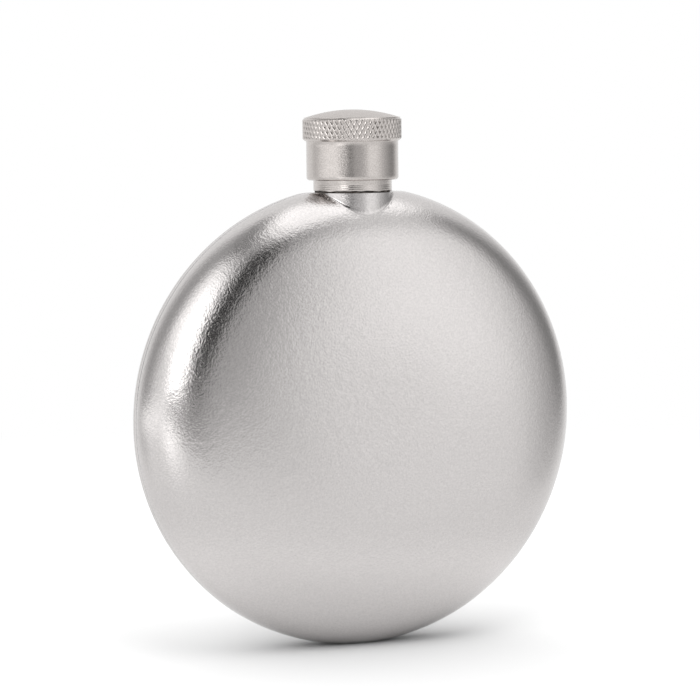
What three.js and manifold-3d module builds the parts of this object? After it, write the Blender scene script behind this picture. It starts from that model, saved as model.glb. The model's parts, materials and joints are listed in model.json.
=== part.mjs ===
// A round hip flask: two pressed half shells welded round the rim, a turned neck and a screw cap
// with a sealing disc. Millimetres. +Z is up and is the axis of the neck and cap, and the panels
// face -Y (front) and +Y (back). The origin is the middle of the small flat under the disc's rim,
// on the surface that the flask stands on.
import * as THREE from 'three';
import { mergeVertices } from 'three/addons/utils/BufferGeometryUtils.js';
import Module from 'manifold-3d';

const wasm = await Module();
wasm.setup();

// Body: a disc whose panels are flat in the middle and fall to a rounded rim.
const BODY_RADIUS = 50;
const BODY_HALF_DEPTH = 15;
const FLAT_RADIUS = 15;
const SECTION_POWER = 2.1;
const FOOT_DEPTH = 0.25;
const SHEET = 0.7;
const SEAM_WIDTH = 1.2;
const SHOULDER_DROP = 15;

// Neck: a spigot in the shells' hole, a plain collar above them and a threaded spout.
const NECK_SEAT_DROP = 1.4;
const WELD_HEIGHT = 0.3;
const WELD_RECESS = 0.3;
const BORE_RADIUS = 6;
const SPIGOT_WALL = 1;
const SPIGOT_DEPTH = 4;
const SPOUT_WALL = 1.2;
const SPOUT_HEIGHT = 7.3;
const COLLAR_STEP = 0.5;
const COLLAR_HEIGHT = 4.7;
const LIP_CHAMFER = 0.4;

// Thread, right-handed, the same pitch and ridge on the neck and in the cap.
const PITCH = 2;
const RIDGE_HEIGHT = 0.8;
const RIDGE_CREST_WIDTH = 0.4;
const PLAIN_ABOVE_THREAD = 0.8;
const THREAD_FADE_STEPS = 5;

// Cap and liner.
const LINER_THICKNESS = 1.5;
const COLLAR_SHOWING = 2.4;
const SKIRT_WALL = 1.15;
const BAND_OVERHANG = 0.75;
const BAND_HEIGHT = 5;
const CAP_TOP_THICKNESS = 2.3;
const CAP_CHAMFER = 0.5;
const DOME_RISE = 1.7;

// Clearance between pieces that pass or turn inside each other.
const CLEARANCE = 0.3;

const BODY_SEGMENTS = 60;
const NECK_SEGMENTS = 30;
const SECTION_STEPS = 11;
const DOME_STEPS = 4;
const OVERCUT = 5;

// Radii from the bore outwards.
const spigotRadius = BORE_RADIUS + SPIGOT_WALL;
const threadCoreRadius = BORE_RADIUS + SPOUT_WALL;
const collarRadius = threadCoreRadius + RIDGE_HEIGHT + COLLAR_STEP;
const weldRadius = collarRadius - WELD_RECESS;
const shoulderRadius = collarRadius + CLEARANCE;
const capThreadRadius = threadCoreRadius + RIDGE_HEIGHT + CLEARANCE;
const counterboreRadius = collarRadius + CLEARANCE;
const skirtRadius = counterboreRadius + SKIRT_WALL;
const bandRadius = skirtRadius + BAND_OVERHANG;

// The ridges of neck and cap lie half a pitch apart, a clearance from each other's flanks.
const ridgeRootWidth = PITCH - RIDGE_CREST_WIDTH - CLEARANCE;
const threadTurns = (SPOUT_HEIGHT - PLAIN_ABOVE_THREAD - ridgeRootWidth) / PITCH;

// Heights above the origin, from the middle of the disc upwards.
const centreHeight = BODY_RADIUS - FOOT_DEPTH;
const topHeight = centreHeight + BODY_RADIUS;
const seatHeight = topHeight - NECK_SEAT_DROP;
const collarBottom = seatHeight + WELD_HEIGHT;
const collarTop = collarBottom + COLLAR_HEIGHT;
const lipHeight = collarTop + SPOUT_HEIGHT;
const threadStart = collarTop + ridgeRootWidth / 2;
const skirtBottom = collarBottom + COLLAR_SHOWING;
const counterboreTop = collarTop + CLEARANCE;
const capCeiling = lipHeight + LINER_THICKNESS;
const bandTop = capCeiling + CAP_TOP_THICKNESS;
const bandBottom = bandTop - BAND_HEIGHT;

const finish = {
  pebbled: new THREE.MeshStandardMaterial({ color: 0xc9c5c2, roughness: 0.34, metalness: 1 }),
  turned: new THREE.MeshStandardMaterial({ color: 0xc4c2bf, roughness: 0.28, metalness: 1 }),
  weld: new THREE.MeshStandardMaterial({ color: 0x8f8c88, roughness: 0.5, metalness: 1 }),
  rubber: new THREE.MeshStandardMaterial({ color: 0xe6e4df, roughness: 0.7, metalness: 0 }),
};

// Turns a closed geometry into a solid that can be joined and cut.
function solid(geometry) {
  const bare = geometry.clone();
  bare.deleteAttribute('normal');
  bare.deleteAttribute('uv');
  const merged = mergeVertices(bare, 1e-5);
  const corners = merged.index.array;
  const kept = [];
  for (let i = 0; i < corners.length; i += 3) {
    const [a, b, c] = corners.slice(i, i + 3);
    if (a !== b && b !== c && c !== a) kept.push(a, b, c);
  }
  return new wasm.Manifold(new wasm.Mesh({
    numProp: 3,
    vertProperties: new Float32Array(merged.attributes.position.array),
    triVerts: new Uint32Array(kept),
  }));
}

// Puts a solid into the scene as a named piece.
function piece(name, body, material) {
  const { vertProperties, triVerts } = body.getMesh();
  const geometry = new THREE.BufferGeometry();
  geometry.setAttribute('position', new THREE.BufferAttribute(vertProperties, 3));
  geometry.setIndex(new THREE.BufferAttribute(triVerts, 1));
  geometry.computeVertexNormals();
  const mesh = new THREE.Mesh(geometry, material);
  mesh.name = name;
  return mesh;
}

// Revolves [radius, height] points round the neck's axis.
function turned(points) {
  const profile = points.map(([radius, height]) => new THREE.Vector2(radius, height));
  const geometry = new THREE.LatheGeometry(profile, NECK_SEGMENTS);
  geometry.rotateX(Math.PI / 2);
  return solid(geometry);
}

// One quarter of the disc's section, from the panel's flat middle to the rim: [radius, depth].
function sectionQuarter(radius, halfDepth) {
  const points = [[0, halfDepth]];
  for (let i = 0; i < SECTION_STEPS; i += 1) {
    const turn = (i / SECTION_STEPS) * (Math.PI / 2);
    points.push([
      FLAT_RADIUS + (radius - FLAT_RADIUS) * Math.sin(turn) ** (2 / SECTION_POWER),
      halfDepth * Math.cos(turn) ** (2 / SECTION_POWER),
    ]);
  }
  return points;
}

// Half depth of the disc at a distance from its centre.
function depthAt(distance, radius, halfDepth) {
  const share = Math.max(0, distance - FLAT_RADIUS) / (radius - FLAT_RADIUS);
  return halfDepth * (1 - share ** SECTION_POWER) ** (1 / SECTION_POWER);
}

// The whole disc, revolved round its own axis, which lies along Y.
function disc(radius, halfDepth) {
  const back = sectionQuarter(radius, halfDepth);
  const front = back.map(([r, depth]) => [r, -depth]);
  const outline = [...front, [radius, 0], ...back.reverse()];
  const profile = outline.map(([r, depth]) => new THREE.Vector2(r, depth));
  const geometry = new THREE.LatheGeometry(profile, BODY_SEGMENTS);
  geometry.translate(0, 0, centreHeight);
  return solid(geometry);
}

// The shoulder drawn up round the neck: a cone that starts flush with the panels and ends
// at the neck's flat seat.
function shoulder(inset) {
  const rootHeight = topHeight - SHOULDER_DROP;
  const depth = depthAt(rootHeight - centreHeight, BODY_RADIUS, BODY_HALF_DEPTH);
  return turned([
    [0, rootHeight],
    [depth - inset, rootHeight],
    [shoulderRadius - inset, seatHeight - inset],
    [0, seatHeight - inset],
  ]);
}

function cylinder(radius, bottom, top) {
  return turned([[0, bottom], [radius, bottom], [radius, top], [0, top]]);
}

// A block that fills everything below a level, to press the foot's flat.
function below(level) {
  const size = 2 * (BODY_RADIUS + OVERCUT);
  const box = new THREE.BoxGeometry(size, size, size);
  box.translate(0, 0, level - size / 2);
  return solid(box);
}

// The disc with its shoulder, hollow, with a flat foot, a flat seat and a hole for the neck.
function hollowBody() {
  const outside = disc(BODY_RADIUS, BODY_HALF_DEPTH).add(shoulder(0)).subtract(below(0));
  const inside = disc(BODY_RADIUS - SHEET, BODY_HALF_DEPTH - SHEET)
    .add(shoulder(SHEET))
    .subtract(below(SHEET));
  const seatCut = cylinder(shoulderRadius, seatHeight, topHeight + OVERCUT);
  const seatInside = cylinder(
    shoulderRadius + SHEET, seatHeight - SHEET, topHeight + OVERCUT);
  const neckHole = cylinder(
    spigotRadius + CLEARANCE, seatHeight - SPIGOT_DEPTH - OVERCUT, seatHeight + OVERCUT);
  return outside.subtract(seatCut).subtract(inside.subtract(seatInside)).subtract(neckHole);
}

// The stretch of the disc between two planes across its depth.
function slice(from, to) {
  const size = 2 * (BODY_RADIUS + OVERCUT);
  const box = new THREE.BoxGeometry(size, to - from, size);
  box.translate(0, (from + to) / 2, centreHeight);
  return solid(box);
}

// A thread ridge: a trapezium swept up a helix, buried in its wall and faded out at both ends.
function threadRidge(rootRadius, crestRadius, middleHeight, turns) {
  const outwards = Math.sign(crestRadius - rootRadius);
  const buriedRadius = rootRadius - outwards * (RIDGE_HEIGHT / 2);
  const section = [
    [buriedRadius, -ridgeRootWidth / 2],
    [rootRadius, -ridgeRootWidth / 2],
    [crestRadius, -RIDGE_CREST_WIDTH / 2],
    [crestRadius, RIDGE_CREST_WIDTH / 2],
    [rootRadius, ridgeRootWidth / 2],
    [buriedRadius, ridgeRootWidth / 2],
  ];
  if (outwards < 0) section.reverse();
  section.push(section[0]);
  const steps = Math.round(turns * NECK_SEGMENTS);
  const profile = section.map(([radius, height]) => new THREE.Vector2(radius, height));
  const geometry = new THREE.LatheGeometry(profile, steps, 0, turns * 2 * Math.PI);
  const position = geometry.attributes.position;
  for (let step = 0; step <= steps; step += 1) {
    const turn = (step / steps) * turns;
    const fade = Math.min(1, Math.min(step, steps - step) / THREAD_FADE_STEPS);
    section.forEach(([radius, height], corner) => {
      const reach = buriedRadius + fade * (radius - buriedRadius);
      position.setXYZ(
        step * section.length + corner,
        reach * Math.sin(turn * 2 * Math.PI),
        middleHeight + fade * height + turn * PITCH,
        reach * Math.cos(turn * 2 * Math.PI));
    });
  }
  geometry.rotateX(Math.PI / 2);
  return solid(geometry);
}

// The neck: spigot, collar, threaded spout and a bore right through.
function neck() {
  const body = turned([
    [BORE_RADIUS, seatHeight - SPIGOT_DEPTH],
    [spigotRadius, seatHeight - SPIGOT_DEPTH],
    [spigotRadius, collarBottom],
    [collarRadius, collarBottom],
    [collarRadius, collarTop - CLEARANCE],
    [collarRadius - CLEARANCE, collarTop],
    [threadCoreRadius, collarTop],
    [threadCoreRadius, lipHeight - LIP_CHAMFER],
    [threadCoreRadius - LIP_CHAMFER, lipHeight],
    [BORE_RADIUS, lipHeight],
    [BORE_RADIUS, seatHeight - SPIGOT_DEPTH],
  ]);
  const crest = threadCoreRadius + RIDGE_HEIGHT;
  return body.add(threadRidge(threadCoreRadius, crest, threadStart, threadTurns));
}

// The weld bead under the collar, set back so that a narrow crevice shows.
function neckWeld() {
  return turned([
    [spigotRadius + CLEARANCE, seatHeight],
    [weldRadius, seatHeight],
    [weldRadius, collarBottom],
    [spigotRadius + CLEARANCE, collarBottom],
    [spigotRadius + CLEARANCE, seatHeight],
  ]);
}

// The cap's domed top, from the edge of the band to the apex.
function domePoints() {
  const edge = bandRadius - CAP_CHAMFER / 2;
  const points = [];
  for (let i = 0; i <= DOME_STEPS; i += 1) {
    const radius = edge * (1 - i / DOME_STEPS);
    points.push([radius, bandTop + DOME_RISE * (1 - (radius / edge) ** 2)]);
  }
  return points;
}

// The cap: dome, band and skirt outside; counterbore, threaded bore and ceiling inside.
function cap() {
  const body = turned([
    [0, capCeiling],
    [capThreadRadius, capCeiling],
    [capThreadRadius, counterboreTop],
    [counterboreRadius, counterboreTop],
    [counterboreRadius, skirtBottom],
    [skirtRadius - CAP_CHAMFER, skirtBottom],
    [skirtRadius, skirtBottom + CAP_CHAMFER],
    [skirtRadius, bandBottom],
    [bandRadius - CAP_CHAMFER, bandBottom],
    [bandRadius, bandBottom + CAP_CHAMFER],
    [bandRadius, bandTop - CAP_CHAMFER / 2],
    ...domePoints(),
  ]);
  const crest = capThreadRadius - RIDGE_HEIGHT;
  const start = threadStart + PITCH / 2;
  return body.add(threadRidge(capThreadRadius, crest, start, threadTurns - 0.5));
}

function capLiner() {
  return cylinder(capThreadRadius - CLEARANCE, lipHeight, capCeiling);
}

const body = hollowBody();
const half = SEAM_WIDTH / 2;
const far = BODY_HALF_DEPTH + OVERCUT;

const shells = new THREE.Group();
shells.add(piece('front_shell', body.intersect(slice(-far, -half)), finish.pebbled));
shells.add(piece('back_shell', body.intersect(slice(half, far)), finish.pebbled));
shells.add(piece('seam_weld', body.intersect(slice(-half, half)), finish.pebbled));

const spout = new THREE.Group();
spout.add(piece('neck', neck(), finish.turned));
spout.add(piece('neck_weld', neckWeld(), finish.weld));

const closure = new THREE.Group();
closure.add(piece('cap', cap(), finish.turned));
closure.add(piece('cap_liner', capLiner(), finish.rubber));

const flask = new THREE.Group();
flask.add(shells, spout, closure);

export default flask;
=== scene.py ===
"""Looks for the round hip flask. Sizes are worked out in millimetres in the frame's axes and turned
into metres when a mesh is made: +Z up along the neck, -Y out of the front panel."""
import json
import math

import bpy
import numpy as np
from mathutils import Matrix, Vector


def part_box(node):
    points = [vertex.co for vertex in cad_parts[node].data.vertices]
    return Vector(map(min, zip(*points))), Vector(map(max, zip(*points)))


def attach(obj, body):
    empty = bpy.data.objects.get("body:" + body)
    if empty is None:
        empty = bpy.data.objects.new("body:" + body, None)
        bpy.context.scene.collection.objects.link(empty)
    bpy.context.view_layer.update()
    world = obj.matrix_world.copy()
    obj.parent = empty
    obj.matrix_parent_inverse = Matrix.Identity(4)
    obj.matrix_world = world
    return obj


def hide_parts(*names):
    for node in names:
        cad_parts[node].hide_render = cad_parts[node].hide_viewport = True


MM = 0.001
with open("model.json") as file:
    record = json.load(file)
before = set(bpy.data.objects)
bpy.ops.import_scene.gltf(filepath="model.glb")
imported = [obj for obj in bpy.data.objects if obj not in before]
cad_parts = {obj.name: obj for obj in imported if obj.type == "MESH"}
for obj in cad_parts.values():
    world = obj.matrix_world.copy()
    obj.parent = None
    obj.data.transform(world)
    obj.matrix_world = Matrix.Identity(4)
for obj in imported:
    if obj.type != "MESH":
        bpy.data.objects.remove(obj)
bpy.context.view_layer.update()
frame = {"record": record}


def low(node, axis):
    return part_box(node)[0][axis] / MM


def high(node, axis):
    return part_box(node)[1][axis] / MM


X, Y, Z = 0, 1, 2

# Heights and radii that the frame gives.
RADIUS = high("seam_weld", X)
HALF_DEPTH = high("back_shell", Y)
SEAM_HALF = high("seam_weld", Y)
CENTRE = frame["record"]["mounts"][0]["pos_m"][2] / MM
SEAT = low("neck_weld", Z)
COLLAR_BOTTOM = high("neck_weld", Z)
WELD_RADIUS = high("neck_weld", Y)
COLLAR_RADIUS = high("neck", Y)
SPIGOT_BOTTOM = low("neck", Z)
LIP = low("cap_liner", Z)
CEILING = high("cap_liner", Z)
SKIRT_BOTTOM = low("cap", Z)
BAND_RADIUS = high("cap", Y)
APEX = high("cap", Z)

# Sizes that the frame's boxes don't give.
SHEET = 0.7
SHOULDER_RADIUS = 8.8
BORE_RADIUS = 6.0
SPIGOT_RADIUS = 7.0
CORE_RADIUS = 7.2
COLLAR_TOP = COLLAR_BOTTOM + 4.7
PITCH = 2.0
RIDGE_HEIGHT = 0.8
RIDGE_CREST = 0.4
RIDGE_ROOT = 1.3
THREAD_START = COLLAR_TOP + RIDGE_ROOT / 2
THREAD_TURNS = 2.6
THREAD_FADE = 60.0
CAP_THREAD_RADIUS = 8.3
COUNTERBORE_RADIUS = 8.8
COUNTERBORE_TOP = COLLAR_TOP + 0.3
SKIRT_RADIUS = 9.95
BAND_HEIGHT = 5.0
DOME_RISE = 1.7
BAND_TOP = APEX - DOME_RISE
BAND_BOTTOM = BAND_TOP - BAND_HEIGHT

# The panels' section: (distance / radius) ^ RIM_POWER + (depth / half depth) ^ DEPTH_POWER = 1.
RIM_POWER = 3.0
DEPTH_POWER = 2.2

# The shoulder under the neck: a round wall that flares into the panels.
FLARE = 0.45
LID_RISE = 0.06
LID_BLEND = 0.3

LID_SPREAD = 0.5
SHOULDER_GAP = 0.005
SHOULDER_ROOT = 14
SUNK_WIDTH = 0.15
SUNK_DEPTH = 0.1
SUNK_BELOW = 3
FLARE_STEPS = 12

# The fine grooves on both sides of the rim's seam.
SEAM_GROOVE_HALF = 0.08
SEAM_GROOVE_DEPTH = 0.05

# How far the cutting tools reach past what they cut, and the room that they leave.
TOOL_REACH = 9
SEAT_ROOM = 0.1
SPIGOT_ROOM = 0.3
SLAB_REACH = 5

# The neck: lathe grooves on the collar, and rounded edges.
COLLAR_GROOVES = (0.62, 1.02, 1.38)
GROOVE_DEPTH = 0.018
GROOVE_HALF = 0.08
GROOVE_FLOOR_HALF = 0.02
COLLAR_EDGE = 0.3
LIP_EDGE = 0.4
LIP_BREAK = 0.12
BORE_EDGE = 0.25
BORE_BREAK = 0.07

# The bead under the collar: how far its ripples go in and out.
BEAD_ROUND = 0.35
BEAD_STEPS = 8
RAGGED_SIZE = 0.2
RIPPLE_SIZE = 0.06
RIPPLES = 47

# Rows and columns of the meshes.
SECTION_SAMPLES = 6001
PANEL_COLUMNS = 360
PANEL_STEP = 0.6
INSIDE_COLUMNS = 120
INSIDE_STEP = 1.6
NECK_COLUMNS = 240
BEAD_COLUMNS = 360
LINER_COLUMNS = 120
NECK_THREAD_ROWS = 72
CAP_THREAD_ROWS = 68
DOME_ROWS = 26

# The knurled band: crests round it, mesh columns a crest, the crests' rise and their depth.
KNURLS = 56
KNURL_DIVISIONS = 12
KNURL_PITCH = 2.04
KNURL_DEPTH = 0.3
KNURL_ROUNDNESS = 1.7
BAND_CHAMFER = 0.5
BAND_CHAMFER_SLOPE = 0.8

# The cap's rounded edges and the liner's.
DOME_INSET = 0.28
DOME_STEP = 0.02
LINER_GAP = 0.3
LINER_EDGE = 0.2
LINER_BREAK = 0.06
LIP_MARK = 0.04


# ---------------------------------------------------------------- meshes

def mesh_piece(name, points, faces, body, replaced, slot_name, sharp=40.0):
    """Makes a named piece from points in millimetres, rides it and gives it its slot."""
    mesh = bpy.data.meshes.new(name)
    mesh.from_pydata((np.asarray(points) * MM).tolist(), [], faces)
    return finish_piece(name, mesh, body, replaced, slot_name, sharp)


def finish_piece(name, mesh, body, replaced, slot_name, sharp=40.0):
    mesh.shade_smooth()
    mesh.set_sharp_from_angle(angle=math.radians(sharp))
    piece = bpy.data.objects.new(name, mesh)
    bpy.context.scene.collection.objects.link(piece)
    piece.data.materials.clear()
    piece.data.materials.append(MATERIALS[slot_name])
    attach(piece, body)
    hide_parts(replaced)
    return piece


def ring_faces(rows, columns, skip=()):
    """Quads between rows of a grid that closes on itself round its columns."""
    faces = []
    for row in range(rows - 1):
        if row in skip:
            continue
        for column in range(columns):
            following = (column + 1) % columns
            faces.append((row * columns + column, row * columns + following,
                          (row + 1) * columns + following, (row + 1) * columns + column))
    return faces


def least(a, b, blend):
    """The smaller of two values, rounded where they are within the blend of each other."""
    near = np.maximum(blend - np.abs(a - b), 0) / blend
    return np.minimum(a, b) - near ** 2 * blend / 4


def rim_distance(depth, inset):
    share = np.clip(np.abs(depth) / (HALF_DEPTH - inset), 0, 1) ** DEPTH_POWER
    return (RADIUS - inset) * (1 - share) ** (1 / RIM_POWER)


def skin_distance(depth, turn, inset):
    """How far the body's skin is from the disc's centre, at a depth and a turn from the top."""
    rim = rim_distance(depth, inset)
    lid = (SEAT + LID_RISE - inset - CENTRE) / np.maximum(np.cos(turn), 0.1)
    return np.where(np.cos(turn) > LID_SPREAD, least(rim, lid, LID_BLEND), rim)


def section_depths(inset, step):
    """Depths of the skin's rows, evenly spaced along the section, from the middle to the rim."""
    turn = np.linspace(1e-4, math.pi / 2, SECTION_SAMPLES)
    depth = (HALF_DEPTH - inset) * np.cos(turn) ** (2 / DEPTH_POWER)
    rim = rim_distance(depth, inset)
    travel = np.hypot(np.diff(depth), np.diff(rim))
    travel = np.concatenate([[0], np.cumsum(travel)])
    edge = SEAM_HALF + SEAM_GROOVE_HALF
    end = np.interp(-edge, -depth, travel)
    count = int(end / step)
    depths = np.interp(np.linspace(0, end, count + 1)[1:-1], travel, depth)
    return np.concatenate([depths, [edge, SEAM_HALF, SEAM_HALF - SEAM_GROOVE_HALF, SEAM_HALF / 2]])


def skin(inset, step, columns):
    """A closed skin of the whole body: points and faces."""
    depths = section_depths(inset, step)
    depths = np.concatenate([-depths, [0], depths[::-1]])
    turns = np.linspace(0, 2 * math.pi, columns, endpoint=False)
    depth, turn = np.meshgrid(depths, turns, indexing="ij")
    distance = skin_distance(depth, turn, inset)
    groove = np.isclose(np.abs(depth), SEAM_HALF)
    distance = distance - np.where(groove, SEAM_GROOVE_DEPTH, 0)
    points = np.stack([distance * np.sin(turn), depth, CENTRE + distance * np.cos(turn)], -1)
    points = points.reshape(-1, 3)
    points[:, 2] = np.maximum(points[:, 2], inset)
    faces = ring_faces(len(depths), columns)
    front, back = len(points), len(points) + 1
    points = np.vstack([points, [[0, inset - HALF_DEPTH, CENTRE], [0, HALF_DEPTH - inset, CENTRE]]])
    last = (len(depths) - 1) * columns
    for column in range(columns):
        following = (column + 1) % columns
        faces.append((front, following, column))
        faces.append((back, last + column, last + following))
    return points, faces


def scratch_object(points, faces):
    mesh = bpy.data.meshes.new("scratch")
    mesh.from_pydata((np.asarray(points) * MM).tolist(), [], faces)
    made = bpy.data.objects.new("scratch", mesh)
    bpy.context.scene.collection.objects.link(made)
    return made


def lathe(profile, columns):
    """Points and faces of a closed [radius, height] profile turned round the neck's axis."""
    profile = np.asarray(profile, float)
    turns = np.linspace(0, 2 * math.pi, columns, endpoint=False)
    radius, turn = np.meshgrid(profile[:, 0], turns, indexing="ij")
    height = np.repeat(profile[:, 1], columns).reshape(radius.shape)
    points = np.stack([radius * np.sin(turn), -radius * np.cos(turn), height], -1)
    return points.reshape(-1, 3), ring_faces(len(profile), columns)


def closed_lathe(profile, columns):
    """A turned solid whose profile starts and ends on the axis."""
    points, faces = lathe(profile[1:-1], columns)
    start, end = len(points), len(points) + 1
    points = np.vstack([points, [[0, 0, profile[0][1]], [0, 0, profile[-1][1]]]])
    last = (len(profile) - 3) * columns
    for column in range(columns):
        following = (column + 1) % columns
        faces.append((start, following, column))
        faces.append((end, last + column, last + following))
    return points, faces


def shoulder():
    """The short round wall under the neck, which flares until it meets the panels."""
    turns = np.linspace(0, 2 * math.pi, NECK_COLUMNS, endpoint=False)
    top = SEAT - SHOULDER_GAP

    def surface(radius):
        rim = rim_distance(radius * np.cos(turns), 0)
        height = CENTRE + np.sqrt(np.maximum(rim ** 2 - (radius * np.sin(turns)) ** 2, 0))
        return np.minimum(height, top)

    foot, end = surface(SHOULDER_RADIUS), surface(SHOULDER_RADIUS + FLARE)
    start = np.minimum(foot + FLARE, top)
    rows = [(SHOULDER_RADIUS, top + (start - top) * share) for share in (0, 0.25, 0.5, 0.75, 1)]
    for share in np.linspace(0, 1, FLARE_STEPS + 1)[1:]:
        height = start * (1 - share) ** 2 + foot * 2 * share * (1 - share) + end * share ** 2
        rows.append((SHOULDER_RADIUS + FLARE * share ** 2, height))
    sunk = SHOULDER_RADIUS + FLARE + SUNK_WIDTH
    rows.append((sunk, surface(sunk) - SUNK_DEPTH))
    rows.append((SHOULDER_RADIUS + FLARE, end - SUNK_BELOW))
    points = [np.stack([radius * np.sin(turns), -radius * np.cos(turns), height], -1)
              for radius, height in rows]
    points = np.vstack(points + [[[0, 0, top], [0, 0, SEAT - SHOULDER_ROOT]]])
    faces = ring_faces(len(rows), NECK_COLUMNS)
    last = (len(rows) - 1) * NECK_COLUMNS
    upper, lower = len(points) - 2, len(points) - 1
    for column in range(NECK_COLUMNS):
        following = (column + 1) % NECK_COLUMNS
        faces.append((upper, following, column))
        faces.append((lower, last + column, last + following))
    return points, [face[::-1] for face in faces]


def slab(front, back):
    """A box that fills everything between two depths."""
    wide, corners = RADIUS + 20, []
    for y in (front, back):
        corners += [(-wide, y, -10), (wide, y, -10), (wide, y, 2 * wide), (-wide, y, 2 * wide)]
    faces = [(0, 1, 2, 3), (7, 6, 5, 4), (0, 4, 5, 1), (1, 5, 6, 2), (2, 6, 7, 3), (3, 7, 4, 0)]
    return corners, faces


def drum(radius, bottom, top, columns):
    """A plain cylinder on the neck's axis, to cut with."""
    return scratch_object(*closed_lathe([[0, bottom], [radius, bottom], [radius, top], [0, top]], columns))


def cut(target, tool, operation):
    """Applies one boolean step to an object's mesh."""
    step = target.modifiers.new("step", "BOOLEAN")
    step.object, step.operation, step.solver = tool, operation, "MANIFOLD"
    seen = bpy.context.evaluated_depsgraph_get()
    result = bpy.data.meshes.new_from_object(target.evaluated_get(seen))
    target.modifiers.clear()
    target.data = result


def body_pieces():
    """The two shells and the seam between them, cut from one hollow body."""
    body = scratch_object(*skin(0, PANEL_STEP, PANEL_COLUMNS))
    inside = scratch_object(*skin(SHEET, INSIDE_STEP, INSIDE_COLUMNS))
    seat = drum(SHOULDER_RADIUS + SEAT_ROOM, SEAT, SEAT + TOOL_REACH, 160)
    lid = drum(20, SEAT - SHEET, SEAT + TOOL_REACH, 48)
    hole = drum(SPIGOT_RADIUS + SPIGOT_ROOM, SEAT - TOOL_REACH, SEAT + 2, 96)
    wall = scratch_object(*shoulder())
    cut(inside, lid, "DIFFERENCE")
    cut(body, wall, "UNION")
    for tool in (seat, inside, hole):
        cut(body, tool, "DIFFERENCE")
    parts = [
        ("front_half", "front_shell", -HALF_DEPTH - SLAB_REACH, -SEAM_HALF),
        ("back_half", "back_shell", SEAM_HALF, HALF_DEPTH + SLAB_REACH),
        ("rim_seam", "seam_weld", -SEAM_HALF, SEAM_HALF),
    ]
    for name, node, front, back in parts:
        copy = bpy.data.objects.new("scratch", body.data.copy())
        bpy.context.scene.collection.objects.link(copy)
        window = scratch_object(*slab(front, back))
        cut(copy, window, "INTERSECT")
        finish_piece(name, copy.data, "flask", node, "pebbled_steel")
        bpy.data.objects.remove(copy)
        bpy.data.objects.remove(window)
    for tool in (body, inside, seat, lid, hole, wall):
        bpy.data.objects.remove(tool)


def ridge(turn, height, start, turns):
    """Share of a thread ridge's height, 0 to 1, at a turn (degrees) and a height."""
    best = np.zeros_like(height)
    for lap in range(-1, int(turns) + 2):
        along = turn / 360 + lap
        level = start + along * PITCH
        off = np.abs(height - level)
        share = np.clip((RIDGE_ROOT / 2 - off) / ((RIDGE_ROOT - RIDGE_CREST) / 2), 0, 1)
        ends = np.minimum(along, turns - along) * 360 / THREAD_FADE
        share = share * np.clip(ends, 0, 1)
        best = np.maximum(best, share)
    return best


def turned_points(profile, columns, shape):
    """Turns a profile and lets shape(radius, turn, height, row) move the points. Degrees."""
    profile = np.asarray(profile, float)
    turns = np.linspace(0, 360, columns, endpoint=False)
    radius, turn = np.meshgrid(profile[:, 0], turns, indexing="ij")
    height = np.repeat(profile[:, 1], columns).reshape(radius.shape)
    row = np.repeat(np.arange(len(profile)), columns).reshape(radius.shape)
    radius, height = shape(radius.copy(), turn, height.copy(), row)
    angle = np.radians(turn)
    return np.stack([radius * np.sin(angle), -radius * np.cos(angle), height], -1).reshape(-1, 3)


def waves(turn, terms):
    """A sum of sine waves round the neck: (how many, how high, where it starts)."""
    return sum(size * np.sin(np.radians(count * turn + phase)) for count, size, phase in terms)


RAGGED = [(2, 0.35, 160), (3, 0.3, 40), (5, 0.25, 215), (9, 0.2, 80), (14, 0.16, 10), (23, 0.12, 130)]


def neck_piece():
    """Spigot, collar, threaded spout and bore, as one turned piece."""
    outside = [(BORE_RADIUS, SPIGOT_BOTTOM), (SPIGOT_RADIUS, SPIGOT_BOTTOM)]
    outside += [(SPIGOT_RADIUS, COLLAR_BOTTOM), (COLLAR_RADIUS - 0.25, COLLAR_BOTTOM),
                (COLLAR_RADIUS - 0.05, COLLAR_BOTTOM + 0.1), (COLLAR_RADIUS, COLLAR_BOTTOM + COLLAR_EDGE)]
    groove_radius = COLLAR_RADIUS - GROOVE_DEPTH
    for groove in COLLAR_GROOVES:
        level = COLLAR_BOTTOM + groove
        outside += [(COLLAR_RADIUS, level - GROOVE_HALF), (groove_radius, level - GROOVE_FLOOR_HALF),
                    (groove_radius, level + GROOVE_FLOOR_HALF), (COLLAR_RADIUS, level + GROOVE_HALF)]
    outside += [(COLLAR_RADIUS, COLLAR_TOP - COLLAR_EDGE), (COLLAR_RADIUS - COLLAR_EDGE, COLLAR_TOP)]
    threaded = len(outside)
    levels = np.linspace(COLLAR_TOP, LIP - LIP_EDGE, NECK_THREAD_ROWS)
    outside += [(CORE_RADIUS, level) for level in levels]
    plain = len(outside)
    outside += [(CORE_RADIUS - LIP_BREAK, LIP - LIP_BREAK), (CORE_RADIUS - LIP_EDGE, LIP),
                (BORE_RADIUS + BORE_EDGE, LIP), (BORE_RADIUS + BORE_BREAK, LIP - BORE_BREAK),
                (BORE_RADIUS, LIP - BORE_EDGE), (BORE_RADIUS, SPIGOT_BOTTOM)]

    def shape(radius, turn, height, row):
        on_thread = (row >= threaded) & (row < plain)
        share = ridge(turn, height, THREAD_START, THREAD_TURNS)
        radius = radius + np.where(on_thread, RIDGE_HEIGHT * share, 0)
        ragged = (row >= 3) & (row <= 5)
        return radius, height + np.where(ragged, RAGGED_SIZE * waves(turn, RAGGED), 0)

    points = turned_points(outside, NECK_COLUMNS, shape)
    faces = ring_faces(len(outside) - 1, NECK_COLUMNS)
    points = points[:-NECK_COLUMNS]
    rows = len(outside) - 1
    for column in range(NECK_COLUMNS):
        following = (column + 1) % NECK_COLUMNS
        faces.append(((rows - 1) * NECK_COLUMNS + column, (rows - 1) * NECK_COLUMNS + following,
                      following, column))
    mesh_piece("turned_neck", points, faces, "flask", "neck", "turned_steel", 35)


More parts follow.
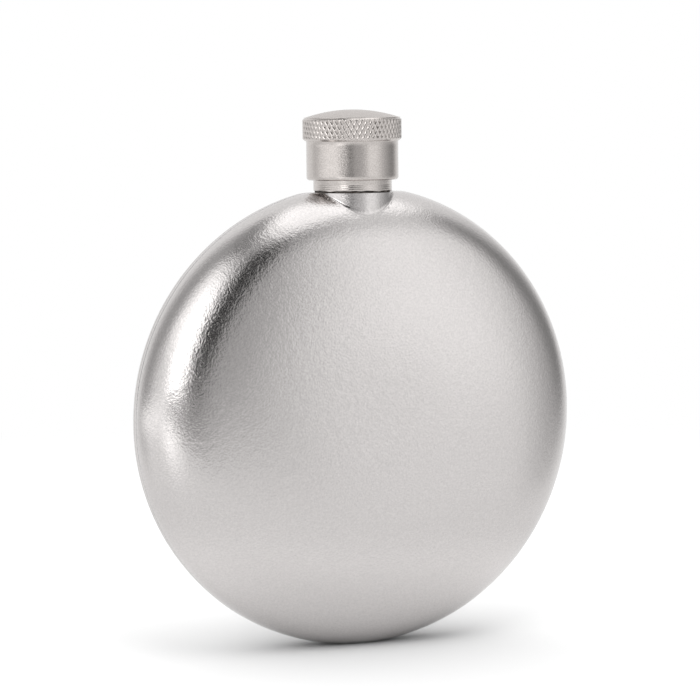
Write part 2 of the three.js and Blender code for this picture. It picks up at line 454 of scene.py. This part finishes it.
def closed_ring(name, profile, columns, shape, body, node, slot_name, sharp):
    """A ring-shaped piece: its profile closes on itself."""
    points = turned_points(profile, columns, shape)
    faces = ring_faces(len(profile), columns)
    last = (len(profile) - 1) * columns
    for column in range(columns):
        following = (column + 1) % columns
        faces.append((last + column, last + following, following, column))
    return mesh_piece(name, points, faces, body, node, slot_name, sharp)


def weld_piece():
    """The bead in the crevice under the collar, rippled as it was laid."""
    middle, half = (SEAT + COLLAR_BOTTOM) / 2, (COLLAR_BOTTOM - SEAT) / 2
    inner = SPIGOT_RADIUS + BEAD_ROUND
    profile = [(inner, SEAT)]
    for step in range(BEAD_STEPS + 1):
        angle = math.pi * (step / BEAD_STEPS - 0.5)
        radius = WELD_RADIUS - BEAD_ROUND + BEAD_ROUND * math.cos(angle)
        profile.append((radius, middle + half * math.sin(angle)))
    profile.append((inner, COLLAR_BOTTOM))

    def shape(radius, turn, height, row):
        outer = (row > 0) & (row < len(profile) - 1)
        ripple = RAGGED_SIZE * waves(turn, RAGGED) + RIPPLE_SIZE * np.sin(np.radians(RIPPLES * turn))
        return radius + np.where(outer, ripple, 0), height

    closed_ring("neck_bead", profile, BEAD_COLUMNS, shape, "flask", "neck_weld", "weld_steel", 50)


def knurl(turn, height):
    """Height of the knurling, 0 to 1: two sets of crossing crests with pits between them."""
    round_share, rise = turn / 360 * KNURLS, (height - BAND_BOTTOM) / KNURL_PITCH

    def ramp(phase):
        return 1 - np.abs(2 * (phase - np.floor(phase)) - 1)

    return 1 - (1 - np.maximum(ramp(round_share + rise), ramp(round_share - rise))) ** KNURL_ROUNDNESS


def cap_outside():
    """Skirt, knurled band and dome, and the rows that the band starts and ends on."""
    step = KNURL_PITCH / KNURL_DIVISIONS
    profile = [(COUNTERBORE_RADIUS + 0.15, SKIRT_BOTTOM), (SKIRT_RADIUS - 0.45, SKIRT_BOTTOM),
               (SKIRT_RADIUS - 0.1, SKIRT_BOTTOM + 0.2), (SKIRT_RADIUS, SKIRT_BOTTOM + 0.5)]
    profile += [(SKIRT_RADIUS, level) for level in np.linspace(SKIRT_BOTTOM + 1, BAND_BOTTOM - 0.25, 9)]
    profile += [(SKIRT_RADIUS + 0.06, BAND_BOTTOM - 0.06), (SKIRT_RADIUS + 0.2, BAND_BOTTOM),
                (BAND_RADIUS - 0.42, BAND_BOTTOM)]
    band = len(profile)
    count = int(BAND_HEIGHT / step)
    profile += [(BAND_RADIUS, BAND_BOTTOM + step * (index + 0.5)) for index in range(count)]
    top = len(profile)
    edge = BAND_RADIUS - DOME_INSET
    profile += [(edge, BAND_TOP), (edge - 0.12, BAND_TOP + 0.04)]
    dome = edge - 0.25
    for share in np.linspace(1, 0.04, DOME_ROWS):
        radius = dome * share
        rise = (DOME_RISE - DOME_STEP) * (1 - (radius / dome) ** 2)
        profile.append((radius, BAND_TOP + DOME_STEP + rise))
    return profile, band, top


def cap_inside(first_row):
    """Ceiling, threaded bore and counterbore, and the rows that the thread starts and ends on."""
    profile = [(0.4, CEILING), (CAP_THREAD_RADIUS, CEILING)]
    threaded = first_row + len(profile)
    levels = np.linspace(CEILING - 0.1, COUNTERBORE_TOP, CAP_THREAD_ROWS)
    profile += [(CAP_THREAD_RADIUS, level) for level in levels]
    plain = first_row + len(profile)
    profile += [(COUNTERBORE_RADIUS, COUNTERBORE_TOP), (COUNTERBORE_RADIUS, SKIRT_BOTTOM + 0.15)]
    return profile, threaded, plain


def knurled_faces(band, top, columns):
    """Triangles of the knurled band, split along the crests."""
    faces = []
    for row in range(band, top - 1):
        up = row - band
        for column in range(columns):
            following = (column + 1) % columns
            a, b = row * columns + column, row * columns + following
            c, d = b + columns, a + columns
            if (column - up) % (KNURL_DIVISIONS // 2) == 0:
                faces += [(a, b, c), (a, c, d)]
            else:
                faces += [(a, b, d), (b, c, d)]
    return faces


def cap_piece():
    """Dome, knurled band and skirt outside; ceiling, threaded bore and counterbore inside."""
    columns = KNURLS * KNURL_DIVISIONS
    outside, band, top = cap_outside()
    apex_row = len(outside)
    inside, threaded, plain = cap_inside(apex_row)
    profile = outside + inside

    def shape(radius, turn, height, row):
        on_band = (row >= band) & (row < top)
        rim = np.minimum(height - BAND_BOTTOM, BAND_TOP - height)
        chamfer = np.clip(BAND_CHAMFER - rim, 0, None) * BAND_CHAMFER_SLOPE
        cutaway = np.maximum(KNURL_DEPTH * (1 - knurl(turn, height)), chamfer)
        radius = radius - np.where(on_band, cutaway, 0)
        on_thread = (row >= threaded) & (row < plain)
        share = ridge(turn, height, THREAD_START + PITCH / 2, THREAD_TURNS - 0.5)
        return radius - np.where(on_thread, RIDGE_HEIGHT * share, 0), height

    points = turned_points(profile, columns, shape)
    rows = len(profile)
    skipped = set(range(band, top - 1)) | {apex_row - 1}
    faces = ring_faces(rows, columns, skipped) + knurled_faces(band, top, columns)
    apex, ceiling = len(points), len(points) + 1
    points = np.vstack([points, [[0, 0, APEX], [0, 0, CEILING]]])
    tip, inner, last = (apex_row - 1) * columns, apex_row * columns, (rows - 1) * columns
    for column in range(columns):
        following = (column + 1) % columns
        faces.append((tip + column, tip + following, apex))
        faces.append((ceiling, inner + following, inner + column))
        faces.append((last + column, last + following, following, column))
    mesh_piece("screw_cap", points, faces, "cap", "cap", "turned_steel", 32)


def liner_piece():
    """The sealing disc, with rounded edges and the ring that the lip has pressed in it."""
    edge = CAP_THREAD_RADIUS - LINER_GAP
    middle = (BORE_RADIUS + CORE_RADIUS) / 2
    profile = [(0, LIP), (middle - 0.7, LIP), (middle - 0.5, LIP + LIP_MARK),
               (middle + 0.5, LIP + LIP_MARK), (middle + 0.7, LIP), (edge - LINER_EDGE, LIP),
               (edge - LINER_BREAK, LIP + LINER_BREAK), (edge, LIP + LINER_EDGE),
               (edge, CEILING - LINER_EDGE), (edge - LINER_BREAK, CEILING - LINER_BREAK),
               (edge - LINER_EDGE, CEILING), (0, CEILING)]
    points, faces = closed_lathe(profile, LINER_COLUMNS)
    mesh_piece("sealing_disc", points, faces, "liner", "cap_liner", "liner", 50)


# ---------------------------------------------------------------- materials

class Nodes:
    """A few words for building a node tree."""

    def __init__(self, tree):
        self.tree = tree
        tree.nodes.clear()

    def add(self, kind, **values):
        node = self.tree.nodes.new(kind)
        for name, value in values.items():
            setattr(node, name, value)
        return node

    def link(self, source, target):
        self.tree.links.new(source, target)

    def put(self, node, key, value):
        if isinstance(value, bpy.types.NodeSocket):
            self.link(value, node.inputs[key])
        else:
            node.inputs[key].default_value = value

    def math(self, operation, a, b=0.0):
        node = self.add("ShaderNodeMath", operation=operation)
        self.put(node, 0, a)
        self.put(node, 1, b)
        return node.outputs[0]

    def noise(self, where, scale, detail=2.0, roughness=0.5, distortion=0.0):
        node = self.add("ShaderNodeTexNoise")
        self.link(where, node.inputs["Vector"])
        for key, value in (("Scale", scale), ("Detail", detail), ("Roughness", roughness),
                           ("Distortion", distortion)):
            node.inputs[key].default_value = value
        return node.outputs["Fac"]

    def place(self, scale=(1, 1, 1)):
        where = self.add("ShaderNodeTexCoord")
        move = self.add("ShaderNodeMapping")
        self.link(where.outputs["Object"], move.inputs["Vector"])
        move.inputs["Scale"].default_value = scale
        return move.outputs["Vector"]

    def spread(self, value, from_low, from_high, to_low, to_high, smooth=False):
        node = self.add("ShaderNodeMapRange", interpolation_type="SMOOTHSTEP" if smooth else "LINEAR")
        for key, number in enumerate((value, from_low, from_high, to_low, to_high)):
            self.put(node, key, number)
        return node.outputs["Result"]

    def tint(self, factor, first, second):
        node = self.add("ShaderNodeMix", data_type="RGBA")
        self.put(node, "Factor", factor)
        node.inputs["A"].default_value = (*first, 1)
        node.inputs["B"].default_value = (*second, 1)
        return node.outputs["Result"]

    def bump(self, height, distance, normal=None):
        node = self.add("ShaderNodeBump")
        node.inputs["Strength"].default_value = 1.0
        node.inputs["Distance"].default_value = distance * MM
        self.link(height, node.inputs["Height"])
        if normal is not None:
            self.link(normal, node.inputs["Normal"])
        return node.outputs["Normal"]


def new_material(name):
    material = bpy.data.materials.new(name)
    material.use_nodes = True
    nodes = Nodes(material.node_tree)
    shader = nodes.add("ShaderNodeBsdfPrincipled")
    output = nodes.add("ShaderNodeOutputMaterial")
    nodes.link(shader.outputs["BSDF"], output.inputs["Surface"])
    return material, nodes, shader


def pebbled_steel():
    """Steel with a fine fibrous orange peel, softly glossy."""
    material, nodes, shader = new_material("pebbled_steel")
    shader.inputs["Metallic"].default_value = 1.0
    here = nodes.place()
    grain = nodes.noise(here, 2300, 2.0, 0.6, 0.2)
    peel = nodes.noise(here, 520, 2.0, 0.5, 0.5)
    patches = nodes.noise(here, 60, 3.0, 0.5)
    nodes.link(nodes.tint(nodes.spread(grain, 0.3, 0.7, 0, 1), (0.61, 0.587, 0.58), (0.69, 0.664, 0.655)),
               shader.inputs["Base Color"])
    nodes.link(nodes.spread(patches, 0.3, 0.7, 0.15, 0.19), shader.inputs["Roughness"])
    normal = nodes.bump(peel, 0.034)
    nodes.link(nodes.bump(grain, 0.036, normal), shader.inputs["Normal"])
    return material


def turned_steel():
    """Lathe-turned steel with fine rings: satin on the skirt and neck, clean cut on the knurled band
    and blasted on the dome."""
    material, nodes, shader = new_material("turned_steel")
    shader.inputs["Metallic"].default_value = 1.0
    apart = nodes.add("ShaderNodeSeparateXYZ")
    nodes.link(nodes.add("ShaderNodeTexCoord").outputs["Object"], apart.inputs["Vector"])
    height = apart.outputs["Z"]
    dome = nodes.spread(height, (BAND_TOP - 0.03) * MM, (BAND_TOP + 0.03) * MM, 0, 1)
    band = nodes.spread(height, (BAND_BOTTOM - 0.02) * MM, (BAND_BOTTOM + 0.02) * MM, 0, 1)
    band = nodes.math("SUBTRACT", band, dome)
    plain = nodes.math("SUBTRACT", 1.0, band)
    rings = nodes.noise(nodes.place((1, 1, 14)), 420, 2.0, 0.6)
    grain = nodes.noise(nodes.place(), 3600, 2.0, 0.6)
    nodes.link(nodes.tint(nodes.spread(grain, 0.3, 0.7, 0, 1), (0.52, 0.485, 0.465), (0.64, 0.60, 0.575)),
               shader.inputs["Base Color"])
    rough = nodes.spread(rings, 0.3, 0.7, 0.16, 0.23)
    rough = nodes.math("ADD", rough, nodes.math("MULTIPLY", dome, 0.2))
    rough = nodes.math("SUBTRACT", rough, nodes.math("MULTIPLY", band, 0.06))
    nodes.link(rough, shader.inputs["Roughness"])
    rings = nodes.math("MULTIPLY", rings, plain)
    grain = nodes.math("MULTIPLY", grain, plain)
    normal = nodes.bump(rings, 0.008)
    nodes.link(nodes.bump(grain, 0.014, normal), shader.inputs["Normal"])
    return material


def weld_steel():
    """Dull weld metal, painted dark for the shade in the crevice under the collar, with heat stains that
    vary its tone.
    """
    material, nodes, shader = new_material("weld_steel")
    shader.inputs["Metallic"].default_value = 1.0
    stain = nodes.noise(nodes.place(), 500, 3.0, 0.6)
    # Painted shade: both colours are far darker than weld metal, standing in for the shade in the crevice
    # under the collar; the noise between them is heat staining.
    nodes.link(nodes.tint(nodes.spread(stain, 0.35, 0.65, 0, 1), (0.10, 0.085, 0.075), (0.34, 0.32, 0.30)),
               shader.inputs["Base Color"])
    nodes.link(nodes.spread(stain, 0.3, 0.7, 0.45, 0.7), shader.inputs["Roughness"])
    nodes.link(nodes.bump(nodes.noise(nodes.place(), 2500, 2.0), 0.05), shader.inputs["Normal"])
    return material


def liner_rubber():
    """Off-white rubber with a faint mottling."""
    material, nodes, shader = new_material("liner_rubber")
    mottle = nodes.noise(nodes.place(), 700, 3.0)
    nodes.link(nodes.tint(nodes.spread(mottle, 0.3, 0.7, 0, 1), (0.80, 0.79, 0.76), (0.86, 0.85, 0.82)),
               shader.inputs["Base Color"])
    nodes.link(nodes.spread(mottle, 0.3, 0.7, 0.6, 0.75), shader.inputs["Roughness"])
    nodes.link(nodes.bump(mottle, 0.02), shader.inputs["Normal"])
    return material


# ---------------------------------------------------------------- studio

# The walls' level, where 1 is white. Like PANELS it was made by a fitting program, not by hand.
WALLS = 0.967

# Diffuse rays get this much less or more than that, from away from FILL_FROM to towards it
# (azimuth, elevation). Glossy rays that follow a diffuse bounce get BOUNCED of it.
FILL = (-0.25, 0.8)
FILL_FROM = (-75, 35)
BOUNCED = 0.12

# Soft panels round the object: azimuth, elevation, half width, half height, tilt, soft edge at the
# sides, soft edge above and below (degrees), and brightness, where 1 is a white wall. A program made
# these numbers, by fitting the reflections for the one view that the camera has. They are no plain
# studio, and are not an example to follow.
PANELS = [
    (-12, 69, 55.0, 18.7, 15, 12.1, 15.6, 1.67),
    (-32, 67, 29.4, 15.6, -41, 11.7, 3.9, 0.13),
    (-109, 33, 19.7, 37.7, -14, 20.0, 20.4, 0.44),
    (91, 7, 16.9, 27.7, -60, 18.0, 22.0, 0.46),
    (-7, 24, 26.0, 30.7, 5, 2.2, 13.0, 0.49),
    (28, 19, 15.1, 21.9, -1, 15.5, 4.5, 1.20),
    (-46, 14, 9.4, 21.7, -12, 10.7, 15.8, 2.72),
    (-79, -3, 36.3, 4.0, 2, 21.1, 2.7, 1.43),
    (1, 65, 10.4, 12.5, 15, 5.2, 1.9, 1.39),
    (-21, 27, 8.2, 24.3, -18, 2.2, 4.2, 0.01),
    (47, 47, 18.1, 6.9, -7, 2.5, 8.3, 0.76),
    (90, 23, 12.0, 28.6, 24, 13.0, 8.1, 0.27),
    (-38, -2, 20.2, 4.6, -12, 11.2, 1.9, 0.30),
    (-30, 82, 4.6, 11.4, 22, 6.1, 17.1, 1.83),
]


def direction(azimuth, elevation):
    a, e = math.radians(azimuth), math.radians(elevation)
    return Vector((math.sin(a) * math.cos(e), -math.cos(a) * math.cos(e), math.sin(e)))


def panel_mask(nodes, where, panel):
    """How much of a panel a direction sees, 0 to 1."""
    azimuth, elevation, half_width, half_height, tilt, soft_side, soft_end = panel[:-1]
    ahead = direction(azimuth, elevation)
    side = direction(azimuth + 90, 0)
    up = ahead.cross(side) * -1
    turn = Matrix.Rotation(math.radians(tilt), 3, ahead)
    side, up = turn @ side, turn @ up

    def dot(axis):
        node = nodes.add("ShaderNodeVectorMath", operation="DOT_PRODUCT")
        nodes.link(where, node.inputs[0])
        node.inputs[1].default_value = axis
        return node.outputs["Value"]

    forward = nodes.math("MAXIMUM", dot(ahead), 0.02)
    mask = nodes.spread(dot(ahead), 0.0, 0.1, 0, 1)
    for axis, half, soft in ((side, half_width, soft_side), (up, half_height, soft_end)):
        off = nodes.math("ABSOLUTE", nodes.math("DIVIDE", dot(axis), forward))
        inner = math.tan(math.radians(max(half - soft, 0)))
        outer = math.tan(math.radians(min(half + soft, 80)))
        mask = nodes.math("MULTIPLY", mask, nodes.spread(off, inner, outer, 1, 0, True))
    return mask


def studio_world():
    """Walls and panels for the object's light and reflections, and plain white for the camera."""
    world = bpy.data.worlds.new("studio")
    bpy.context.scene.world = world
    world.use_nodes = True
    nodes = Nodes(world.node_tree)
    where = nodes.add("ShaderNodeTexCoord").outputs["Generated"]
    level = WALLS
    for panel in PANELS:
        mix = nodes.add("ShaderNodeMix", data_type="FLOAT")
        nodes.put(mix, "Factor", panel_mask(nodes, where, panel))
        nodes.put(mix, "A", level)
        nodes.put(mix, "B", panel[-1])
        level = mix.outputs["Result"]
    path = nodes.add("ShaderNodeLightPath")
    lean = nodes.add("ShaderNodeVectorMath", operation="DOT_PRODUCT")
    nodes.link(where, lean.inputs[0])
    lean.inputs[1].default_value = direction(*FILL_FROM)
    fill = nodes.spread(lean.outputs["Value"], -1, 1, *FILL)
    fill = nodes.math("MULTIPLY", path.outputs["Is Diffuse Ray"], fill)
    level = nodes.math("MULTIPLY", level, nodes.math("ADD", fill, 1.0))
    bounced = nodes.math("MINIMUM", path.outputs["Diffuse Depth"], path.outputs["Is Glossy Ray"])
    level = nodes.math("MULTIPLY", level, nodes.spread(bounced, 0, 1, 1, BOUNCED))
    white = nodes.add("ShaderNodeMix", data_type="FLOAT")
    nodes.link(path.outputs["Is Camera Ray"], white.inputs["Factor"])
    nodes.put(white, "A", level)
    nodes.put(white, "B", 1.0)
    shade = nodes.add("ShaderNodeBackground")
    shade.inputs["Color"].default_value = (1, 1, 1, 1)
    nodes.link(white.outputs["Result"], shade.inputs["Strength"])
    output = nodes.add("ShaderNodeOutputWorld")
    nodes.link(shade.outputs["Background"], output.inputs["Surface"])


FLOOR_RADIUS = 450

# Distances from the flask's foot, in metres. The floor fades into the white backdrop over FADE. In
# reflections it fades into an even NEAR_LEVEL over NEAR, and fades out over EDGE.
FADE_START, FADE_END = 0.12, 0.42
EDGE_START, EDGE_END = 0.09, 0.16
NEAR_START, NEAR_END, NEAR_LEVEL = 0.03, 0.085, 0.93

# The floor's colour, and the darker one that it has for light that has already bounced.
FLOOR_LEVEL = 0.99
BOUNCE_LEVEL = 0.12


def studio_floor():
    """A white floor that keeps the flask's shadow and fades into the white behind it."""
    turns = np.linspace(0, 2 * math.pi, 96, endpoint=False)
    rim = [(FLOOR_RADIUS * math.cos(turn), FLOOR_RADIUS * math.sin(turn), 0) for turn in turns]
    floor = scratch_object(rim, [tuple(range(96))])
    floor.name = "floor"
    material, nodes, shader = new_material("white_floor")
    shader.inputs["Roughness"].default_value = 1.0
    shader.inputs["Specular IOR Level"].default_value = 0.0
    path = nodes.add("ShaderNodeLightPath")
    seen = nodes.math("MAXIMUM", path.outputs["Is Camera Ray"], path.outputs["Is Transmission Ray"])
    bounced = nodes.math("MINIMUM", path.outputs["Diffuse Depth"], 1.0)
    level = nodes.spread(bounced, 0, 1, FLOOR_LEVEL, BOUNCE_LEVEL)
    colour = nodes.add("ShaderNodeCombineColor")
    for channel in ("Red", "Green", "Blue"):
        nodes.link(level, colour.inputs[channel])
    nodes.link(colour.outputs["Color"], shader.inputs["Base Color"])
    size = nodes.add("ShaderNodeVectorMath", operation="LENGTH")
    nodes.link(nodes.add("ShaderNodeTexCoord").outputs["Object"], size.inputs[0])
    far = nodes.spread(size.outputs["Value"], FADE_START, FADE_END, 0.0, 1.0, True)
    near = nodes.spread(size.outputs["Value"], NEAR_START, NEAR_END, 0.0, 1.0, True)
    glossy = path.outputs["Is Glossy Ray"]
    emission = nodes.add("ShaderNodeEmission")
    nodes.link(nodes.spread(glossy, 0, 1, 1.0, NEAR_LEVEL), emission.inputs["Strength"])
    mix = nodes.add("ShaderNodeMixShader")
    part = nodes.math("MAXIMUM", nodes.math("MULTIPLY", far, seen), nodes.math("MULTIPLY", near, glossy))
    nodes.link(part, mix.inputs["Fac"])
    nodes.link(shader.outputs["BSDF"], mix.inputs[1])
    nodes.link(emission.outputs["Emission"], mix.inputs[2])
    past = nodes.spread(size.outputs["Value"], EDGE_START, EDGE_END, 0.0, 1.0, True)
    open_floor = nodes.add("ShaderNodeMixShader")
    nodes.link(nodes.math("MULTIPLY", past, path.outputs["Is Glossy Ray"]), open_floor.inputs["Fac"])
    nodes.link(mix.outputs["Shader"], open_floor.inputs[1])
    nodes.link(nodes.add("ShaderNodeBsdfTransparent").outputs["BSDF"], open_floor.inputs[2])
    output = next(node for node in nodes.tree.nodes if node.type == "OUTPUT_MATERIAL")
    nodes.link(open_floor.outputs["Shader"], output.inputs["Surface"])
    floor.data.materials.append(material)


# The camera stands to the left of the front, a little above the flask. It looks past TARGET by
# OFF_RIGHT and OFF_UP, as shares of its distance. All of these are fitted values.
CAMERA_AZIMUTH = -21.335
CAMERA_ELEVATION = 5.52
CAMERA_DISTANCE = 642.5
CAMERA_ROLL = 0.62
LENS = 151.9
TARGET = Vector((0, 0, 57.75))
OFF_RIGHT, OFF_UP = -1.59 / 1000, 9.75 / 1000


def camera():
    lens = bpy.data.cameras.new("camera")
    lens.lens, lens.sensor_width = LENS, 36.0
    back = direction(CAMERA_AZIMUTH, CAMERA_ELEVATION)
    right = direction(CAMERA_AZIMUTH + 90, 0)
    up = back.cross(right)
    roll = math.radians(CAMERA_ROLL)
    right, up = (right * math.cos(roll) - up * math.sin(roll),
                 right * math.sin(roll) + up * math.cos(roll))
    eye = TARGET + back * CAMERA_DISTANCE
    aim = TARGET + (right * OFF_RIGHT + up * OFF_UP) * CAMERA_DISTANCE
    back = (eye - aim).normalized()
    right = up.cross(back).normalized()
    up = back.cross(right)
    made = bpy.data.objects.new("camera", lens)
    turn = Matrix((right, up, back)).transposed().to_4x4()
    made.matrix_world = Matrix.Translation(eye * MM) @ turn
    lens.clip_start, lens.clip_end = 0.01, 20
    bpy.context.scene.collection.objects.link(made)
    bpy.context.scene.camera = made


# ---------------------------------------------------------------- everything

MATERIALS = {
    "pebbled_steel": pebbled_steel(),
    "turned_steel": turned_steel(),
    "weld_steel": weld_steel(),
    "liner": liner_rubber(),
}
camera()
studio_world()
studio_floor()
body_pieces()
neck_piece()
weld_piece()
cap_piece()
liner_piece()
bpy.context.scene.view_settings.view_transform = "Standard"
